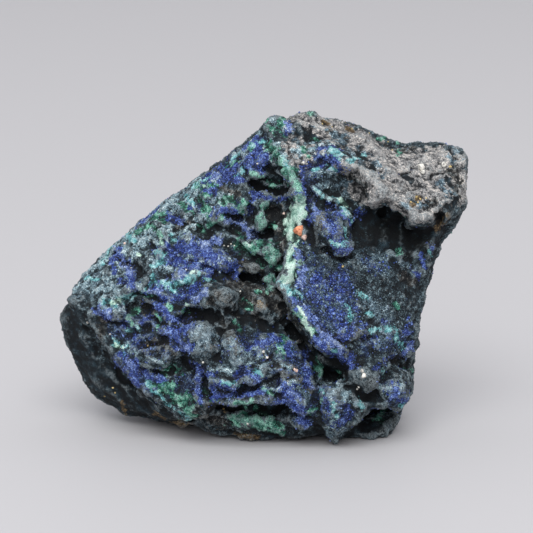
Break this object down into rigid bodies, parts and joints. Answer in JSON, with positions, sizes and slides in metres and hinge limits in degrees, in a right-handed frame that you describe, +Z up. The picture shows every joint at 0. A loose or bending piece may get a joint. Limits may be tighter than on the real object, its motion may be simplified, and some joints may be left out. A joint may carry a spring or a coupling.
{
  "type": "azurite mineral specimen",
  "caption": "Hand-sized mineral specimen of azurite and malachite crust grown over dark, pitted matrix, with a drusy plate and a pale weathered cap.",
  "frame": {"origin": "middle of the specimen's footprint box, on the surface it rests on", "axes": "+X to the right along the show face, +Y away from the show face, +Z up"},
  "size_m": [0.075, 0.044, 0.059],
  "materials": {
    "stone": "rough, with azurite and malachite crust"
  },
  "bodies": {
    "root": {"azurite_specimen": "stone"}
  },
  "joints": []
}
